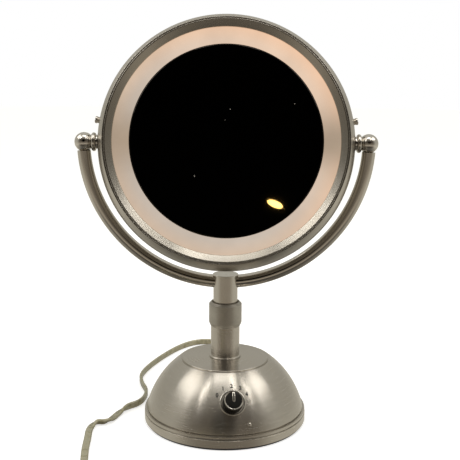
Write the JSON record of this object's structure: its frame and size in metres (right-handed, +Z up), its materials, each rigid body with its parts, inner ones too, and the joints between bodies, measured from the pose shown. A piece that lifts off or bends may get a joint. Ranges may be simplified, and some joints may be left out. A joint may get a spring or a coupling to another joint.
{
  "type": "lighted vanity mirror",
  "caption": "Double-sided lighted table mirror: a round head with a frosted light ring tilts in a tube yoke on a sliding, swivelling post over a domed base with a rotary switch and mains lead.",
  "frame": {"origin": "centre of the base's underside, on the surface it stands on", "axes": "+Z up, -Y the way the mirror faces at rest, +X to the viewer's right along the tilt axis"},
  "size_m": [0.2742, 0.4466, 0.3764],
  "materials": {
    "satin_nickel": "brushed satin nickel plate",
    "bright_nickel": "bright nickel plate",
    "zinc_steel": "zinc-plated steel",
    "black_foam": "closed-cell foam pad",
    "ballast_iron": "as cast",
    "black_gloss": "glossy moulded",
    "black_matte": "moulded",
    "nylon": "natural nylon",
    "circuit_board": "solder mask",
    "mirror_glass": "silvered glass",
    "frosted_ring": "frosted, lit from behind",
    "white_steel": "white reflector paint",
    "socket_ceramic": "glazed",
    "lamp_glass": "frosted bulb",
    "wire_sleeve": "wire insulation",
    "clear_gold_lead": "clear gold flexible vinyl",
    "blade_brass": "stamped"
  },
  "bodies": {
    "base": {"base_shell": "satin_nickel", "foot_pad": "black_foam", "bottom_plate": "zinc_steel", "bottom_plate_screws": "zinc_steel", "shell_lugs": "zinc_steel", "ballast": "ballast_iron", "lower_stem": "satin_nickel", "stem_nut": "zinc_steel", "dimmer_board": "circuit_board", "terminal_block": "black_matte", "switch_body": "black_matte", "switch_nut": "zinc_steel", "escutcheon": "bright_nickel", "front_rivet": "bright_nickel", "strain_relief": "clear_gold_lead", "cord_inner": "clear_gold_lead", "cord_lead": "clear_gold_lead", "cord_coil": "clear_gold_lead", "cord_tail": "clear_gold_lead", "plug_body": "clear_gold_lead", "plug_blades": "blade_brass"},
    "knob": {"knob_body": "black_gloss", "knob_ring": "bright_nickel", "knob_inlay": "black_gloss", "knob_pointer": "bright_nickel", "switch_shaft": "zinc_steel"},
    "collar": {"lock_collar": "satin_nickel"},
    "bush": {"collet_bush": "nylon"},
    "post": {"upper_post": "satin_nickel", "post_cap": "satin_nickel", "post_stop_ring": "zinc_steel", "yoke_tube": "satin_nickel", "yoke_ball_left": "bright_nickel", "yoke_ball_right": "bright_nickel", "pivot_washers": "bright_nickel", "pivot_spindles": "zinc_steel", "spindle_nuts": "zinc_steel", "post_wiring": "wire_sleeve"},
    "head": {"pivot_bosses": "bright_nickel", "head_band": "satin_nickel", "front_bezel": "satin_nickel", "rear_bezel": "satin_nickel", "front_mirror": "mirror_glass", "front_diffuser": "frosted_ring", "rear_mirror": "mirror_glass", "rear_diffuser": "frosted_ring", "lamp_carrier": "white_steel", "mirror_standoffs": "zinc_steel", "lamp_sockets": "socket_ceramic", "lamps": "lamp_glass", "head_wiring": "wire_sleeve", "rim_screws": "bright_nickel"}
  },
  "joints": [
    {"name": "switch_turn", "type": "hinge", "parent": "base", "child": "knob", "pos_m": [0.00718, -0.06206, 0.0388], "axis": [0.0952, -0.8226, 0.5606], "range_deg": [-60, 60]},
    {"name": "collar_turn", "type": "hinge", "parent": "base", "child": "collar", "pos_m": [0, 0, 0.103], "axis": [0, 0, 1], "range_deg": [0, 180]},
    {"name": "yoke_swivel", "type": "hinge", "parent": "base", "child": "bush", "pos_m": [0, 0, 0.1], "axis": [0, 0, 1], "range_deg": [-150, 150]},
    {"name": "post_height", "type": "slide", "parent": "bush", "child": "post", "axis": [0, 0, 1], "range_m": [0, 0.045]},
    {"name": "head_tilt", "type": "hinge", "parent": "post", "child": "head", "pos_m": [0, 0, 0.2623], "axis": [1, 0, 0], "range_deg": [-180, 180]}
  ]
}
